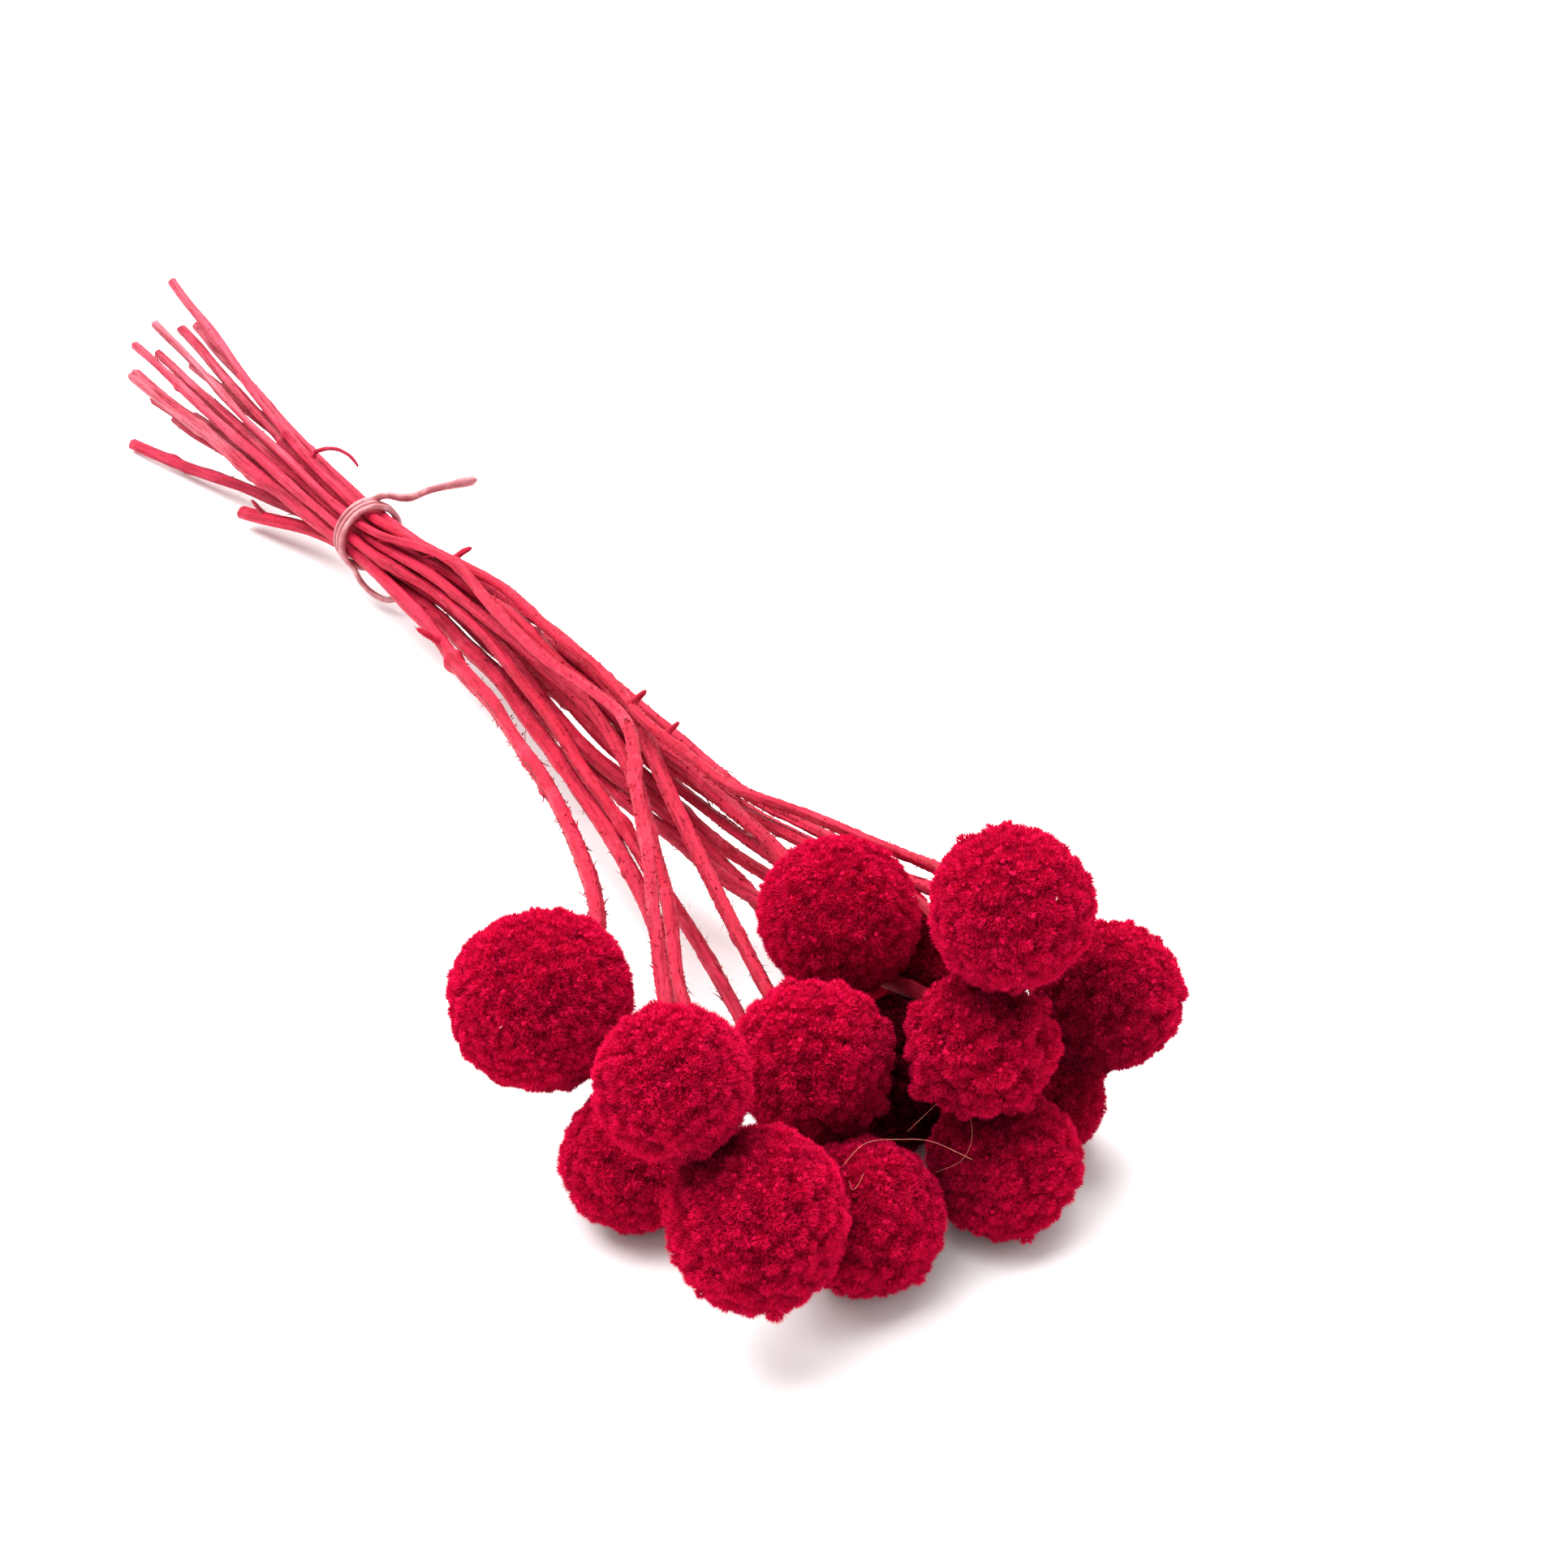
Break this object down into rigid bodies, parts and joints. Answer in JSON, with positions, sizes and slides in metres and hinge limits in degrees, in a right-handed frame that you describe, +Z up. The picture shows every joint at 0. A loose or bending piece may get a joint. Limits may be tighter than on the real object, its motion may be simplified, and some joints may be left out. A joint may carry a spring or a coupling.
{
  "type": "dried flower bunch",
  "caption": "Bunch of dried red craspedia lying on its side: round velvety heads on thin ridged stems that run together through an elastic band and fan out to cut ends",
  "frame": {"origin": "bottom centre of the bounding box, on the table that the bunch lies on", "axes": "+Y along the bunch from the flower heads to the cut ends, +Z up, +X to the right for someone who looks from the heads to the cut ends"},
  "size_m": [0.0964, 0.3599, 0.0626],
  "materials": {
    "florets": "matte",
    "stem": "matte",
    "band": "satin"
  },
  "bodies": {
    "root": {"flower_01_head": "florets", "flower_01_stem": "stem", "flower_02_head": "florets", "flower_02_stem": "stem", "flower_03_head": "florets", "flower_03_stem": "stem", "flower_04_head": "florets", "flower_04_stem": "stem", "flower_05_head": "florets", "flower_05_stem": "stem", "flower_06_head": "florets", "flower_06_stem": "stem", "flower_07_head": "florets", "flower_07_stem": "stem", "flower_08_head": "florets", "flower_08_stem": "stem", "flower_09_head": "florets", "flower_09_stem": "stem", "flower_10_head": "florets", "flower_10_stem": "stem", "flower_11_head": "florets", "flower_11_stem": "stem", "flower_12_head": "florets", "flower_12_stem": "stem", "flower_13_head": "florets", "flower_13_stem": "stem", "flower_14_head": "florets", "flower_14_stem": "stem", "flower_15_head": "florets", "flower_15_stem": "stem", "leaf_stub_1": "stem", "leaf_stub_2": "stem", "leaf_stub_3": "stem", "leaf_stub_4": "stem", "leaf_stub_5": "stem", "curled_shoot": "stem", "elastic_band": "band"}
  },
  "joints": []
}
